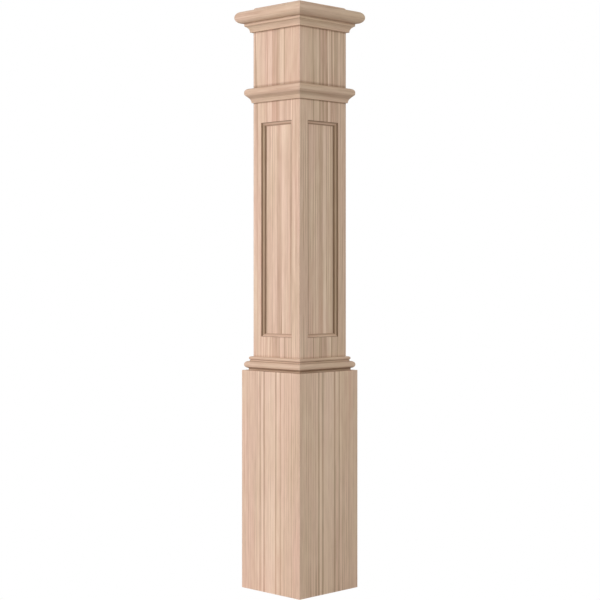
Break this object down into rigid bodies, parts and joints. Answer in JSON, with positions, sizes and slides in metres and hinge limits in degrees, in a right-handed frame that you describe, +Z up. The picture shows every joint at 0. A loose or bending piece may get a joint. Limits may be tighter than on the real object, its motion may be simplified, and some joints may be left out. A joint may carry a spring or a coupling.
{
  "type": "newel post",
  "caption": "Square box newel post in bare wood: plain lower block, recessed panels framed by mouldings, necking, plain rail block and a bullnosed flat cap.",
  "frame": {"origin": "centre of the underside, on the floor", "axes": "+Z up the post; the front face looks along -Y and the right face along +X"},
  "size_m": [0.2238, 0.2238, 1.3999],
  "materials": {
    "shaft_wood": "matte",
    "block_wood": "matte",
    "panel_wood": "matte",
    "panel_moulding_wood": "matte",
    "base_moulding_wood": "matte",
    "necking_wood": "matte",
    "cap_cove_wood": "matte",
    "cap_bullnose_wood": "matte",
    "top_panel_wood": "matte"
  },
  "bodies": {
    "root": {"shaft_board_front": "shaft_wood", "shaft_board_right": "shaft_wood", "shaft_board_back": "shaft_wood", "shaft_board_left": "shaft_wood", "lower_block_board_front": "block_wood", "lower_block_board_right": "block_wood", "lower_block_board_back": "block_wood", "lower_block_board_left": "block_wood", "base_moulding_front": "base_moulding_wood", "base_moulding_right": "base_moulding_wood", "base_moulding_back": "base_moulding_wood", "base_moulding_left": "base_moulding_wood", "necking_front": "necking_wood", "necking_right": "necking_wood", "necking_back": "necking_wood", "necking_left": "necking_wood", "cap_cove_front": "cap_cove_wood", "cap_cove_right": "cap_cove_wood", "cap_cove_back": "cap_cove_wood", "cap_cove_left": "cap_cove_wood", "cap_bullnose_front": "cap_bullnose_wood", "cap_bullnose_right": "cap_bullnose_wood", "cap_bullnose_back": "cap_bullnose_wood", "cap_bullnose_left": "cap_bullnose_wood", "recessed_panel_front": "panel_wood", "recessed_panel_right": "panel_wood", "recessed_panel_back": "panel_wood", "recessed_panel_left": "panel_wood", "panel_moulding_front_top": "panel_moulding_wood", "panel_moulding_front_right": "panel_moulding_wood", "panel_moulding_front_bottom": "panel_moulding_wood", "panel_moulding_front_left": "panel_moulding_wood", "panel_moulding_right_top": "panel_moulding_wood", "panel_moulding_right_right": "panel_moulding_wood", "panel_moulding_right_bottom": "panel_moulding_wood", "panel_moulding_right_left": "panel_moulding_wood", "panel_moulding_back_top": "panel_moulding_wood", "panel_moulding_back_right": "panel_moulding_wood", "panel_moulding_back_bottom": "panel_moulding_wood", "panel_moulding_back_left": "panel_moulding_wood", "panel_moulding_left_top": "panel_moulding_wood", "panel_moulding_left_right": "panel_moulding_wood", "panel_moulding_left_bottom": "panel_moulding_wood", "panel_moulding_left_left": "panel_moulding_wood", "top_panel": "top_panel_wood"}
  },
  "joints": []
}
